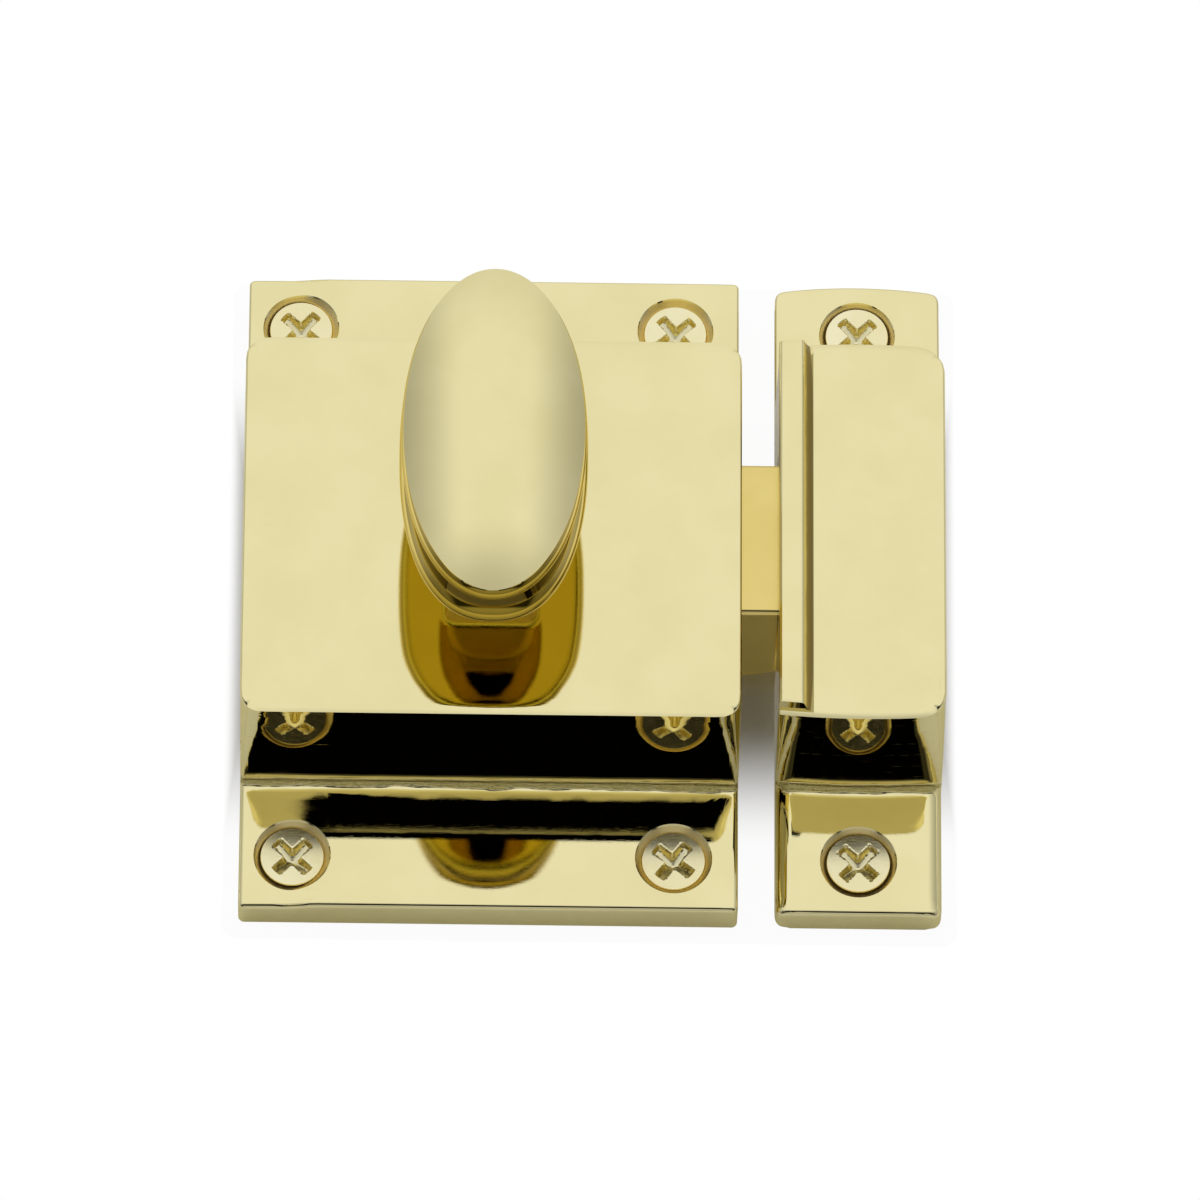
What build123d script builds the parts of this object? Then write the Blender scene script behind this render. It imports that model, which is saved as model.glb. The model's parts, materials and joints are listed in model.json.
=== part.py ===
# Cabinet latch: a cast case with an oval turn knob and a sprung bolt, and its cast strike.
#
# The latch is modelled as it hangs on a cabinet door, in millimetres. X runs across the door towards
# the strike, Z is up, and the front of the latch faces -Y. The origin is on the back plane, on the
# axis of the knob. Every place in front of the back plane is given as a depth, and a point at depth d
# has y = -d.

import os
from math import asin, cos, degrees, radians, sin, tan

from build123d import *

# Castings: the case and the strike share one section
case_width = 44.5
strike_width = 14.9
casting_height = 63.5
flange_thickness = 3.8
housing_rise = 13.0
housing_foot_height = 39.0
end_wall_draft = 3.0
foot_fillet = 0.8
front_edge_round = 0.45
side_edge_round = 0.25
case_corner_radius = 0.5
strike_corner_radius = 1.5
strike_gap = 3.3

# Case inside
side_wall = 2.6
end_wall = 3.3
cavity_corner_radius = 2.0
corner_boss_radius = 2.5
corner_boss_inset = 2.2
plate_thickness = 2.0
plate_ledge = 1.0
plate_fit = 0.15
plate_corner_radius = 1.5

# Strike inside, and the raised lip on its left edge
strike_wall = 2.2
strike_front_wall = 1.85
strike_mouth_clearance = 1.1
lip_rise = 1.8
lip_flat = 2.2
lip_cove = 0.9
lip_cove_radius = 3.0
lip_end_inset = 0.4

# Bolt
bolt_height = 15.0
bolt_thickness = 12.4
bolt_front_depth = 14.6
bolt_throw = 6.0
bolt_clearance = 0.15
bolt_side_clearance = 0.15
bolt_tip_thickness = 3.0
bolt_edge_round = 0.5
nose_radius = 10.6
tail_thickness = 4.6
tail_length = 20.3
tail_step_fillet = 1.2
tail_step_clearance = 0.65
rail_thickness = 1.6
rail_height = 4.0
rail_length = 34.0

# Knob
knob_front_rise = 18.0
knob_dome_rise = 3.0
dome_land = 0.15
dome_seat = 0.5
dome_half_width = 8.0
dome_half_height = 16.0
front_bead_proud = 0.2
front_bead_thickness = 2.2
back_bead_proud = 0.35
back_bead_thickness = 2.6
bead_groove_width = 1.4
bead_groove_inset = 0.4
bead_flat = 0.12
neck_head_width = 8.0
neck_foot_width = 6.4
neck_corner_radius = 0.9
neck_head_fillet = 0.6
collar_radius = 4.7
collar_thickness = 1.0
collar_round = 0.3
knob_face_gap = 0.3

# Spindle, crank and what holds them
journal_radius = 3.0
journal_fit = 0.05
spindle_boss_radius = 5.0
spindle_boss_height = 2.35
stop_wall_thickness = 1.6
stop_wall_gap = 0.5
stop_clearance = 0.3
stop_wall_height = 5.6
thrust_washer_thickness = 0.4
thrust_gap = 0.15
thrust_washer_radius = 4.4
crank_thickness = 2.9
crank_hub_radius = 4.5
crank_throw = 5.7
crank_eye_radius = 2.6
crank_pin_radius = 1.5
crank_pin_end_gap = 0.5
notch_clearance = 0.35
knob_turn = 90.0
tang_size = 4.0
tang_fit = 0.05
tang_short = 0.1
thread_radius = 2.2
thread_length = 7.8
crank_washer_radius = 3.4
crank_washer_thickness = 0.5
crank_screw_radius = 1.2
crank_screw_length = 5.0
crank_screw_head_radius = 2.3
crank_screw_head_height = 1.3
crank_screw_head_round = 0.4
crank_screw_slot_width = 0.65
crank_screw_slot_depth = 0.65
small_fit = 0.05

# Spring
spring_radius = 1.95
wire_radius = 0.25
spring_turns = 7
spring_seat_gap = 0.05
spring_peg_radius = 1.5
spring_peg_length = 2.0

# Wood screws in the flanges
screw_side_inset = 5.25
screw_end_inset = 5.1
screw_row_offset = -0.5
countersink_angle = 82.0
countersink_radius = 3.45
shank_hole_radius = 1.6
screw_head_radius = 2.85
screw_rim = 0.2
screw_shank_radius = 1.42
screw_shank_end = 4.6
screw_thread_radius = 1.25
screw_length = 12.7
screw_point = 3.5
screw_seat_gap = 0.02
recess_span = 4.2
recess_wing = 1.0
recess_depth = 1.5
recess_core_radius = 0.75
recess_taper = 12.0

# Machine screws of the back plate
plate_screw_head_radius = 1.9
plate_screw_radius = 1.0
plate_screw_length = 6.0
plate_screw_sink = 0.1
plate_screw_angle = 90.0
plate_recess_span = 2.4
plate_recess_wing = 0.6
plate_recess_depth = 0.8
plate_recess_core_radius = 0.45

# Places worked out from the sizes above
face_depth = flange_thickness + housing_rise
face_half_height = housing_foot_height / 2 - housing_rise * tan(radians(end_wall_draft))
cavity_depth = bolt_front_depth + bolt_clearance
cavity_width = case_width - 2 * side_wall
cavity_height = housing_foot_height - 2 * end_wall
wall_inside_x = cavity_width / 2
boss_x = wall_inside_x - corner_boss_inset
boss_z = cavity_height / 2 - corner_boss_inset
seat_width = cavity_width + 2 * plate_ledge
seat_height = cavity_height + 2 * plate_ledge

bolt_back_depth = bolt_front_depth - bolt_thickness
bolt_tip_x = case_width / 2 + strike_gap + bolt_throw
crank_angle = knob_turn / 2
pin_x = crank_throw * sin(radians(crank_angle))
pin_z = -crank_throw * cos(radians(crank_angle))
bolt_travel = 2 * pin_x
tail_front_depth = bolt_back_depth + tail_thickness
head_left_x = spindle_boss_radius + stop_wall_thickness + bolt_travel + tail_step_clearance
tail_left_x = head_left_x - tail_length

strike_left_x = case_width / 2 + strike_gap
strike_right_x = strike_left_x + strike_width
strike_middle_x = (strike_left_x + strike_right_x) / 2

boss_end_depth = cavity_depth - spindle_boss_height
washer_front_depth = boss_end_depth - thrust_gap
crank_front_depth = washer_front_depth - thrust_washer_thickness
crank_back_depth = crank_front_depth - crank_thickness
crank_screw_seat_depth = crank_back_depth - crank_washer_thickness

knob_base_depth = face_depth + knob_face_gap
bead_front_depth = face_depth + knob_front_rise
groove_front_depth = bead_front_depth - front_bead_thickness
groove_back_depth = groove_front_depth - bead_groove_width
bead_back_depth = groove_back_depth - back_bead_thickness

screw_spacing_x = case_width - 2 * screw_side_inset
screw_spacing_z = casting_height - 2 * screw_end_inset
half_sink = tan(radians(countersink_angle / 2))
half_plate_sink = tan(radians(plate_screw_angle / 2))
screw_sink = (countersink_radius - screw_head_radius - screw_seat_gap) / half_sink - screw_rim
screw_top_depth = flange_thickness - screw_sink
spring_depth = (bolt_back_depth + tail_front_depth) / 2


def front_plane(depth):
    """A plane facing the front at this depth, with its own x and y along X and Z."""
    return Plane.XZ.offset(depth)


def casting_section(x):
    """The section of flange and housing, seen from the side, with its foot and front edges rounded."""
    end = casting_height / 2
    foot = housing_foot_height / 2
    with BuildSketch(Plane.YZ.offset(x)) as section:
        with BuildLine():
            Polyline(
                (0, -end),
                (-flange_thickness, -end),
                (-flange_thickness, -foot),
                (-face_depth, -face_half_height),
                (-face_depth, face_half_height),
                (-flange_thickness, foot),
                (-flange_thickness, end),
                (0, end),
                close=True,
            )
        make_face()
        corners = section.vertices()
        fillet(corners.filter_by(lambda v: abs(abs(v.Z) - foot) < 0.01), foot_fillet)
        fillet(section.vertices().sort_by(Axis.Y)[:2], front_edge_round)
    return section.sketch


def buffed_edges(part, x_low, x_high, corner):
    """The front edges all round a casting's outline, from the flange ends to the housing's sides."""
    end = casting_height / 2

    def on_outline(edge):
        box = edge.bounding_box()
        on_side = min(abs(box.min.X - x_low), abs(box.max.X - x_high)) < 0.001
        on_end = min(abs(box.min.Z + end), abs(box.max.Z - end)) < 0.001
        narrow = box.size.X < corner + 0.01
        flat = box.size.Z < corner + 0.01
        return box.max.Y < -0.001 and ((on_side and narrow) or (on_end and flat))

    return part.edges().filter_by(on_outline)


def casting_blank(x_low, x_high, corner):
    """A solid casting between two sides, with its flange corners and its front edges rounded."""
    with BuildPart() as blank:
        extrude(casting_section(x_low), amount=x_high - x_low)
        ends = blank.edges().filter_by(Axis.Y)
        fillet(ends.filter_by(lambda e: abs(abs(e.center().Z) - casting_height / 2) < 0.01), corner)
        fillet(buffed_edges(blank, x_low, x_high, corner), side_edge_round)
    return blank.part


def flange_hole():
    """A countersunk screw hole through a flange, drilled from the plane that it is placed on."""
    CounterSinkHole(shank_hole_radius, countersink_radius, flange_thickness, countersink_angle)


# Case: one casting, hollow from behind
with BuildPart() as case:
    add(casting_blank(-case_width / 2, case_width / 2, case_corner_radius))

    # Hollow for the bolt and its works, and the seat of the back plate round its mouth
    with BuildSketch(front_plane(0)):
        RectangleRounded(cavity_width, cavity_height, cavity_corner_radius)
    extrude(amount=cavity_depth, mode=Mode.SUBTRACT)
    with BuildSketch(front_plane(0)):
        RectangleRounded(seat_width, seat_height, plate_corner_radius)
    extrude(amount=plate_thickness, mode=Mode.SUBTRACT)

    # Corner bosses for the plate's screws
    with BuildSketch(front_plane(plate_thickness)):
        with GridLocations(2 * boss_x, 2 * boss_z, 2, 2):
            Circle(corner_boss_radius)
    extrude(amount=cavity_depth - plate_thickness)
    with BuildSketch(front_plane(plate_thickness)):
        with GridLocations(2 * boss_x, 2 * boss_z, 2, 2):
            Circle(plate_screw_radius + small_fit)
    extrude(amount=plate_screw_length, mode=Mode.SUBTRACT)

    # Spindle boss on the inside of the front wall, with the wall over it that stops the crank
    with BuildSketch(front_plane(boss_end_depth)):
        Circle(spindle_boss_radius)
    extrude(amount=spindle_boss_height)
    stop_radius = crank_hub_radius + stop_wall_gap
    stop_end_angle = degrees(asin((crank_hub_radius - stop_clearance) / stop_radius)) - crank_angle
    stop_sweep = 180 - 2 * stop_end_angle
    with BuildSketch(front_plane(cavity_depth - stop_wall_height)):
        with BuildLine():
            inner = CenterArc((0, 0), stop_radius, stop_end_angle, stop_sweep)
            outer = CenterArc((0, 0), stop_radius + stop_wall_thickness, stop_end_angle, stop_sweep)
            Line(inner @ 0, outer @ 0)
            Line(inner @ 1, outer @ 1)
        make_face()
    extrude(amount=stop_wall_height)
    with BuildSketch(front_plane(boss_end_depth)):
        Circle(journal_radius + journal_fit)
    extrude(amount=face_depth, mode=Mode.SUBTRACT)

    # Window for the bolt in the right wall
    with BuildSketch(Plane.YZ.offset(wall_inside_x)):
        with Locations((-(bolt_front_depth + bolt_back_depth) / 2, 0)):
            RectangleRounded(
                bolt_thickness + 2 * bolt_clearance,
                bolt_height + 2 * bolt_side_clearance,
                bolt_edge_round,
            )
    extrude(amount=2 * side_wall, both=True, mode=Mode.SUBTRACT)

    # Peg that centres the spring on the left wall
    with BuildSketch(Plane.YZ.offset(-wall_inside_x)):
        with Locations((-spring_depth, 0)):
            Circle(spring_peg_radius)
    extrude(amount=spring_peg_length)

    # Screw holes in the flange
    with Locations(front_plane(flange_thickness)):
        with Locations((screw_row_offset, 0)):
            with GridLocations(screw_spacing_x, screw_spacing_z, 2, 2):
                flange_hole()

# Strike: one casting with the same section, open towards the bolt and behind
with BuildPart() as strike:
    add(casting_blank(strike_left_x, strike_right_x, strike_corner_radius))

    # Raised lip along the left edge, with a cove down to the front face
    with BuildSketch(Plane.XY) as lip_section:
        lip_top = face_depth + lip_rise
        with BuildLine():
            Polyline(
                (strike_left_x, -lip_top),
                (strike_left_x, -(face_depth - strike_front_wall)),
                (strike_left_x + lip_flat + lip_cove, -(face_depth - strike_front_wall)),
                (strike_left_x + lip_flat + lip_cove, -face_depth),
            )
            RadiusArc(
                (strike_left_x + lip_flat + lip_cove, -face_depth),
                (strike_left_x + lip_flat, -lip_top),
                -lip_cove_radius,
            )
            Line((strike_left_x + lip_flat, -lip_top), (strike_left_x, -lip_top))
        make_face()
        fillet(lip_section.vertices().sort_by(Axis.Y)[:2], lip_end_inset)
    extrude(amount=face_half_height - lip_end_inset, both=True)

    # Hollow behind the front wall, and the mouth in the left wall
    with BuildSketch(front_plane(0)):
        with Locations((strike_middle_x, 0)):
            RectangleRounded(strike_width - 2 * strike_wall, cavity_height, cavity_corner_radius)
    extrude(amount=face_depth - strike_front_wall, mode=Mode.SUBTRACT)
    with BuildSketch(front_plane(0)):
        with Locations((strike_left_x + strike_wall / 2, 0)):
            Rectangle(2 * strike_wall, bolt_height + 2 * strike_mouth_clearance)
    extrude(amount=face_depth - strike_front_wall, mode=Mode.SUBTRACT)

    # Screw holes in the flange
    with Locations(front_plane(flange_thickness)):
        with Locations((strike_middle_x, 0)):
            with GridLocations(0, screw_spacing_z, 1, 2):
                flange_hole()

# Back plate: closes the hollow, with two rails that the bolt's tail slides between
with BuildPart() as back_plate:
    with BuildSketch(front_plane(0)):
        RectangleRounded(seat_width - 2 * plate_fit, seat_height - 2 * plate_fit, plate_corner_radius)
    extrude(amount=plate_thickness)
    with BuildSketch(front_plane(plate_thickness)):
        rail_z = bolt_height / 2 + bolt_side_clearance + rail_thickness / 2
        with Locations((0, rail_z), (0, -rail_z)):
            Rectangle(rail_length, rail_thickness)
    extrude(amount=rail_height)
    with Locations(Plane.XZ.rotated((180, 0, 0))):
        with GridLocations(2 * boss_x, 2 * boss_z, 2, 2):
            CounterSinkHole(
                plate_screw_radius + small_fit,
                plate_screw_head_radius + plate_screw_sink + small_fit,
                plate_thickness,
                plate_screw_angle,
            )

# Bolt: the head fills the window, and the tail behind it is cut down to pass the crank
with BuildPart() as bolt:
    with BuildSketch(Plane.XY) as bolt_plan:
        nose_drop = bolt_thickness - bolt_tip_thickness
        nose_start_x = bolt_tip_x - (nose_radius**2 - (nose_radius - nose_drop) ** 2) ** 0.5
        with BuildLine():
            Polyline(
                (nose_start_x, -bolt_back_depth),
                (tail_left_x, -bolt_back_depth),
                (tail_left_x, -tail_front_depth),
                (head_left_x, -tail_front_depth),
                (head_left_x, -bolt_front_depth),
                (bolt_tip_x, -bolt_front_depth),
                (bolt_tip_x, -bolt_back_depth - nose_drop),
            )
            RadiusArc(
                (bolt_tip_x, -bolt_back_depth - nose_drop),
                (nose_start_x, -bolt_back_depth),
                -nose_radius,
            )
        make_face()
        inner_corner = bolt_plan.vertices().sort_by_distance((head_left_x, -tail_front_depth))[0]
        fillet(inner_corner, tail_step_fillet)
        tip_corner = bolt_plan.vertices().sort_by_distance((bolt_tip_x, -bolt_front_depth))[0]
        fillet(tip_corner, bolt_edge_round)
    extrude(amount=bolt_height / 2, both=True)
    long_edges = bolt.edges().filter_by(Axis.X)
    fillet(long_edges.filter_by(lambda e: e.center().X > head_left_x), bolt_edge_round)

    # Notch that the crank's pin works in, open at the lower edge
    notch_half = crank_pin_radius + notch_clearance
    with BuildSketch(front_plane(bolt_back_depth)):
        with Locations((pin_x, pin_z + notch_clearance)):
            Circle(notch_half)
        with Locations((pin_x, pin_z + notch_clearance)):
            Rectangle(2 * notch_half, bolt_height, align=(Align.CENTER, Align.MAX))
    extrude(amount=tail_thickness, mode=Mode.SUBTRACT)

    # Peg that centres the spring on the tail
    with BuildSketch(Plane.YZ.offset(tail_left_x - spring_peg_length)):
        with Locations((-spring_depth, 0)):
            Circle(spring_peg_radius)
    extrude(amount=spring_peg_length)

# Spring: thrown bolt to left wall
spring_length = wall_inside_x + tail_left_x - 2 * spring_seat_gap
with BuildPart() as bolt_spring:
    with BuildLine() as coil:
        Helix(
            pitch=(spring_length - 2 * wire_radius) / spring_turns,
            height=spring_length - 2 * wire_radius,
            radius=spring_radius,
            center=(-wall_inside_x + spring_seat_gap + wire_radius, -spring_depth, 0),
            direction=(1, 0, 0),
        )
    with BuildSketch(Plane(origin=coil.line @ 0, z_dir=coil.line % 0)):
        Circle(wire_radius)
    sweep(path=coil.line, is_frenet=True)


def arc_radius(half_chord, rise):
    """The radius of an arc that rises this much over this half chord."""
    return (half_chord**2 + rise**2) / (2 * rise)


# Dome of the knob: an oval blank cut by a surface that is crowned across and along
dome_crown = knob_dome_rise - dome_land
apex_depth = bead_front_depth + knob_dome_rise
cross_radius = arc_radius(dome_half_width, dome_crown)
long_radius = arc_radius(dome_half_height, dome_crown)
with BuildPart() as dome:
    with BuildSketch(front_plane(bead_front_depth - dome_seat)):
        Ellipse(dome_half_width, dome_half_height)
    extrude(amount=2 * knob_dome_rise)
    with BuildSketch(Plane.XY):
        with Locations((0, -(apex_depth - cross_radius))):
            Circle(cross_radius)
    revolve(axis=Axis((0, long_radius - apex_depth, 0), (1, 0, 0)), mode=Mode.INTERSECT)

# Knob: one casting, an oval head with two rim beads on a tapered square neck
with BuildPart() as knob:
    # Beads of the rim
    for bead_depth, bead_thickness, proud in (
        (groove_front_depth, front_bead_thickness, front_bead_proud),
        (bead_back_depth, back_bead_thickness, back_bead_proud),
    ):
        with BuildSketch(front_plane(bead_depth)):
            Ellipse(dome_half_width + proud, dome_half_height + proud)
        extrude(amount=bead_thickness)
        fillet(knob.edges(Select.LAST), bead_thickness / 2 - bead_flat)

    # Floor of the groove between them
    with BuildSketch(front_plane(bead_back_depth + back_bead_thickness / 2)):
        Ellipse(dome_half_width - bead_groove_inset, dome_half_height - bead_groove_inset)
    extrude(amount=bead_groove_width + (front_bead_thickness + back_bead_thickness) / 2)
    add(dome.part)

    # Collar that runs on the front of the case
    with BuildSketch(front_plane(knob_base_depth)):
        Circle(collar_radius)
    extrude(amount=collar_thickness)
    fillet(knob.edges(Select.LAST).sort_by(Axis.Y)[0], collar_round)

    # Neck: a square that grows towards the flat back of the head, and meets it in a small fillet
    neck_start_depth = knob_base_depth + collar_thickness
    for depth, width in ((neck_start_depth, neck_foot_width), (bead_back_depth, neck_head_width)):
        with BuildSketch(front_plane(depth)):
            RectangleRounded(width, width, neck_corner_radius)
    loft()
    at_head = knob.edges().filter_by(lambda e: abs(e.bounding_box().min.Y + bead_back_depth) < 0.001)
    fillet(at_head.filter_by(lambda e: e.bounding_box().size.X < neck_head_width), neck_head_fillet)

    # Hole for the spindle's thread
    with BuildSketch(front_plane(knob_base_depth)):
        Circle(thread_radius)
    extrude(amount=thread_length, mode=Mode.SUBTRACT)

# Spindle: screwed into the knob, turning in the boss, with a square end for the crank
with BuildPart() as spindle:
    with BuildSketch(front_plane(crank_front_depth)):
        Circle(journal_radius)
    extrude(amount=knob_base_depth - crank_front_depth)
    with BuildSketch(front_plane(knob_base_depth)):
        Circle(thread_radius - small_fit)
    extrude(amount=thread_length - small_fit)
    with BuildSketch(front_plane(crank_back_depth + tang_short)):
        Rectangle(tang_size, tang_size)
    extrude(amount=crank_thickness - tang_short)
    with BuildSketch(front_plane(crank_back_depth + tang_short)):
        Circle(crank_screw_radius + small_fit)
    extrude(amount=crank_screw_length, mode=Mode.SUBTRACT)


def washer(outer_radius, hole_radius, back_depth, thickness):
    """A flat ring round the knob's axis."""
    with BuildPart() as ring:
        with BuildSketch(front_plane(back_depth)):
            Circle(outer_radius)
            Circle(hole_radius, mode=Mode.SUBTRACT)
        extrude(amount=thickness)
    return ring


thrust_washer = washer(
    thrust_washer_radius, journal_radius + small_fit, crank_front_depth, thrust_washer_thickness
)
crank_washer = washer(
    crank_washer_radius, crank_screw_radius + small_fit, crank_screw_seat_depth, crank_washer_thickness
)

# Crank: hub and eye in one outline, with a square hole for the spindle
with BuildPart() as crank:
    with BuildSketch(front_plane(crank_back_depth)):
        Circle(crank_hub_radius)
        with Locations((pin_x, pin_z)):
            Circle(crank_eye_radius)
        make_hull()
        Rectangle(tang_size + 2 * tang_fit, tang_size + 2 * tang_fit, mode=Mode.SUBTRACT)
        with Locations((pin_x, pin_z)):
            Circle(crank_pin_radius + small_fit, mode=Mode.SUBTRACT)
    extrude(amount=crank_thickness)

# Pin of the crank, reaching back through the bolt's notch
with BuildPart() as crank_pin:
    with BuildSketch(front_plane(plate_thickness + crank_pin_end_gap)):
        with Locations((pin_x, pin_z)):
            Circle(crank_pin_radius)
    extrude(amount=crank_front_depth - plate_thickness - crank_pin_end_gap)


def cross_recess(plane, span, wing, core_radius, depth, turn):
    """A tapered cross cut into a screw's head."""
    with BuildSketch(plane) as recess:
        with Locations(Rotation(0, 0, turn)):
            Rectangle(span, wing)
            Rectangle(wing, span)
            Circle(core_radius)
    extrude(recess.sketch, amount=-depth, taper=recess_taper, mode=Mode.SUBTRACT)


# Slotted screw that holds the crank and its washer on the spindle
with BuildPart() as crank_screw:
    crank_screw_back_depth = crank_screw_seat_depth - crank_screw_head_height
    with BuildSketch(front_plane(crank_screw_back_depth)):
        Circle(crank_screw_head_radius)
    extrude(amount=crank_screw_head_height)
    fillet(crank_screw.edges().sort_by(Axis.Y)[-1], crank_screw_head_round)
    with BuildSketch(front_plane(crank_screw_seat_depth)):
        Circle(crank_screw_radius)
    extrude(amount=crank_screw_length)
    with BuildSketch(front_plane(crank_screw_back_depth)):
        Rectangle(2 * crank_screw_head_radius, crank_screw_slot_width)
    extrude(amount=crank_screw_slot_depth, mode=Mode.SUBTRACT)


def wood_screw(x, z, turn):
    """A flat-head wood screw in a flange, with its gimlet point behind the back plane."""
    with BuildPart() as screw:
        with BuildSketch(Plane.XY.offset(z)):
            with BuildLine(Plane.XY.offset(z)):
                head_y = -screw_top_depth
                neck_y = head_y + screw_rim + (screw_head_radius - screw_shank_radius) / half_sink
                Polyline(
                    (x, head_y),
                    (x + screw_head_radius, head_y),
                    (x + screw_head_radius, head_y + screw_rim),
                    (x + screw_shank_radius, neck_y),
                    (x + screw_shank_radius, head_y + screw_shank_end),
                    (x + screw_thread_radius, head_y + screw_shank_end),
                    (x + screw_thread_radius, head_y + screw_length - screw_point),
                    (x, head_y + screw_length),
                    close=True,
                )
            make_face()
        revolve(axis=Axis((x, 0, z), (0, 1, 0)))
        head_plane = Plane(origin=(x, head_y, z), x_dir=(1, 0, 0), z_dir=(0, -1, 0))
        cross_recess(head_plane, recess_span, recess_wing, recess_core_radius, recess_depth, turn)
    return screw


def plate_screw(x, z, turn):
    """A small flat-head screw in the back plate, with its head to the back."""
    with BuildPart() as screw:
        with BuildSketch(Plane.XY.offset(z)):
            with BuildLine(Plane.XY.offset(z)):
                head_y = -plate_screw_sink
                neck_y = head_y - (plate_screw_head_radius - plate_screw_radius) / half_plate_sink
                Polyline(
                    (x, head_y),
                    (x + plate_screw_head_radius, head_y),
                    (x + plate_screw_radius, neck_y),
                    (x + plate_screw_radius, head_y - plate_screw_length),
                    (x, head_y - plate_screw_length),
                    close=True,
                )
            make_face()
        revolve(axis=Axis((x, 0, z), (0, 1, 0)))
        head_plane = Plane(origin=(x, head_y, z), x_dir=(1, 0, 0), z_dir=(0, 1, 0))
        cross_recess(
            head_plane,
            plate_recess_span,
            plate_recess_wing,
            plate_recess_core_radius,
            plate_recess_depth,
            turn,
        )
    return screw


left_row_x = screw_row_offset - screw_spacing_x / 2
right_row_x = screw_row_offset + screw_spacing_x / 2
screw_z = screw_spacing_z / 2
parts = {
    "case": case,
    "back_plate": back_plate,
    "plate_screw_1": plate_screw(-boss_x, boss_z, 20),
    "plate_screw_2": plate_screw(boss_x, boss_z, 65),
    "plate_screw_3": plate_screw(-boss_x, -boss_z, 35),
    "plate_screw_4": plate_screw(boss_x, -boss_z, 80),
    "case_screw_top_left": wood_screw(left_row_x, screw_z, 48),
    "case_screw_top_right": wood_screw(right_row_x, screw_z, 40),
    "case_screw_bottom_left": wood_screw(left_row_x, -screw_z, 45),
    "case_screw_bottom_right": wood_screw(right_row_x, -screw_z, 52),
    "knob": knob,
    "spindle": spindle,
    "thrust_washer": thrust_washer,
    "crank": crank,
    "crank_pin": crank_pin,
    "crank_washer": crank_washer,
    "crank_screw": crank_screw,
    "bolt": bolt,
    "bolt_spring": bolt_spring,
    "strike": strike,
    "strike_screw_top": wood_screw(strike_middle_x, screw_z, 43),
    "strike_screw_bottom": wood_screw(strike_middle_x, -screw_z, 47),
}

os.makedirs("parts", exist_ok=True)
for name, builder in parts.items():
    builder.part.label = name
    export_step(builder.part, f"parts/{name}.step")
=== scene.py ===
# %% [markdown]
# # A polished brass cupboard latch
#
# This lesson dresses a cupboard latch in Blender. The latch has two castings that are screwed side by
# side: a case with an oval knob in front and a sprung bolt inside, and a strike that the bolt shoots
# into. The solids already exist as a frame of named nodes, in metres. Up is +Z, the front faces -Y and
# the strike stands towards +X. We keep the solids whose shape is right and give them a finish, and we
# rebuild the ones that need a smoother or finer surface than a solid carries.

# %% Load the frame
import json
import math
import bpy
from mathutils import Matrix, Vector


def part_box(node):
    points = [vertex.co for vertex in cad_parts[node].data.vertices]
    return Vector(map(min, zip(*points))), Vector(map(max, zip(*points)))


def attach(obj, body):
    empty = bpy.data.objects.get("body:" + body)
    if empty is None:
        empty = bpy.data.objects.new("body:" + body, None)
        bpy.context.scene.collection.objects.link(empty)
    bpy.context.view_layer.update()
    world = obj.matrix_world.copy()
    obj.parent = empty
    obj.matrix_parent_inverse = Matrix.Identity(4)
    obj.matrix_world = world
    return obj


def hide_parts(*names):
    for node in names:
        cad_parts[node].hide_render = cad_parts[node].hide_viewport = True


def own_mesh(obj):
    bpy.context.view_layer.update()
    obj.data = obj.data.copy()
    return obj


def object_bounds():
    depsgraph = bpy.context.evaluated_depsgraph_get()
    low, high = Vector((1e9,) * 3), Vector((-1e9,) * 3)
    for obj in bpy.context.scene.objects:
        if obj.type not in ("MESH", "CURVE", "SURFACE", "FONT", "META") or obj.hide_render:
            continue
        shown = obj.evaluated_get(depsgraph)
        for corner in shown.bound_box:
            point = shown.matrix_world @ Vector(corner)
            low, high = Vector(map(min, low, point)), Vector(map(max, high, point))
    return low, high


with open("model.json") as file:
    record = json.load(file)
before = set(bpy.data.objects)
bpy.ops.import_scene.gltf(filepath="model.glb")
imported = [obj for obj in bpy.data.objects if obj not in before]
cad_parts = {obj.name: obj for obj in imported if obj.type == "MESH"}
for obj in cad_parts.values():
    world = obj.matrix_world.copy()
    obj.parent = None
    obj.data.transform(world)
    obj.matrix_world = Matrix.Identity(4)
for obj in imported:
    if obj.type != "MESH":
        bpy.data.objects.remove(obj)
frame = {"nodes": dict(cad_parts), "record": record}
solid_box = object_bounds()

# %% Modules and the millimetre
from types import SimpleNamespace

import bmesh
import bpy
from mathutils import Matrix, Vector

mm = 0.001
solid_size = solid_box[1] - solid_box[0]
print("solids, mm:", [round(side / mm, 1) for side in solid_size])


def new_object(name, data):
    """An object that carries the data, linked into the scene."""
    thing = bpy.data.objects.new(name, data)
    bpy.context.scene.collection.objects.link(thing)
    return thing

# %% [markdown]
# ## The camera
#
# The latch was looked at from a little below, 27 degrees under the line square to its face, and from
# far away, so that its upright edges stay nearly parallel. A long lens gives that. The camera could be
# aimed with a constraint, but a matrix built from its three axes says exactly where it points, and it
# takes the slight roll as well.

# %% Where the camera looks from
view_elevation = math.radians(-27.19)
view_azimuth = math.radians(-0.735)
view_roll = math.radians(0.362)
view_distance = 1271.4 * mm
view_target = Vector((9.845 * mm, 0, 1.116 * mm))

towards_camera = Vector(
    (
        math.sin(view_azimuth) * math.cos(view_elevation),
        -math.cos(view_azimuth) * math.cos(view_elevation),
        math.sin(view_elevation),
    )
)
level_right = (-towards_camera).cross(Vector((0, 0, 1))).normalized()
level_up = level_right.cross(-towards_camera)
right = level_right * math.cos(view_roll) + level_up * math.sin(view_roll)
up = level_up * math.cos(view_roll) - level_right * math.sin(view_roll)

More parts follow.
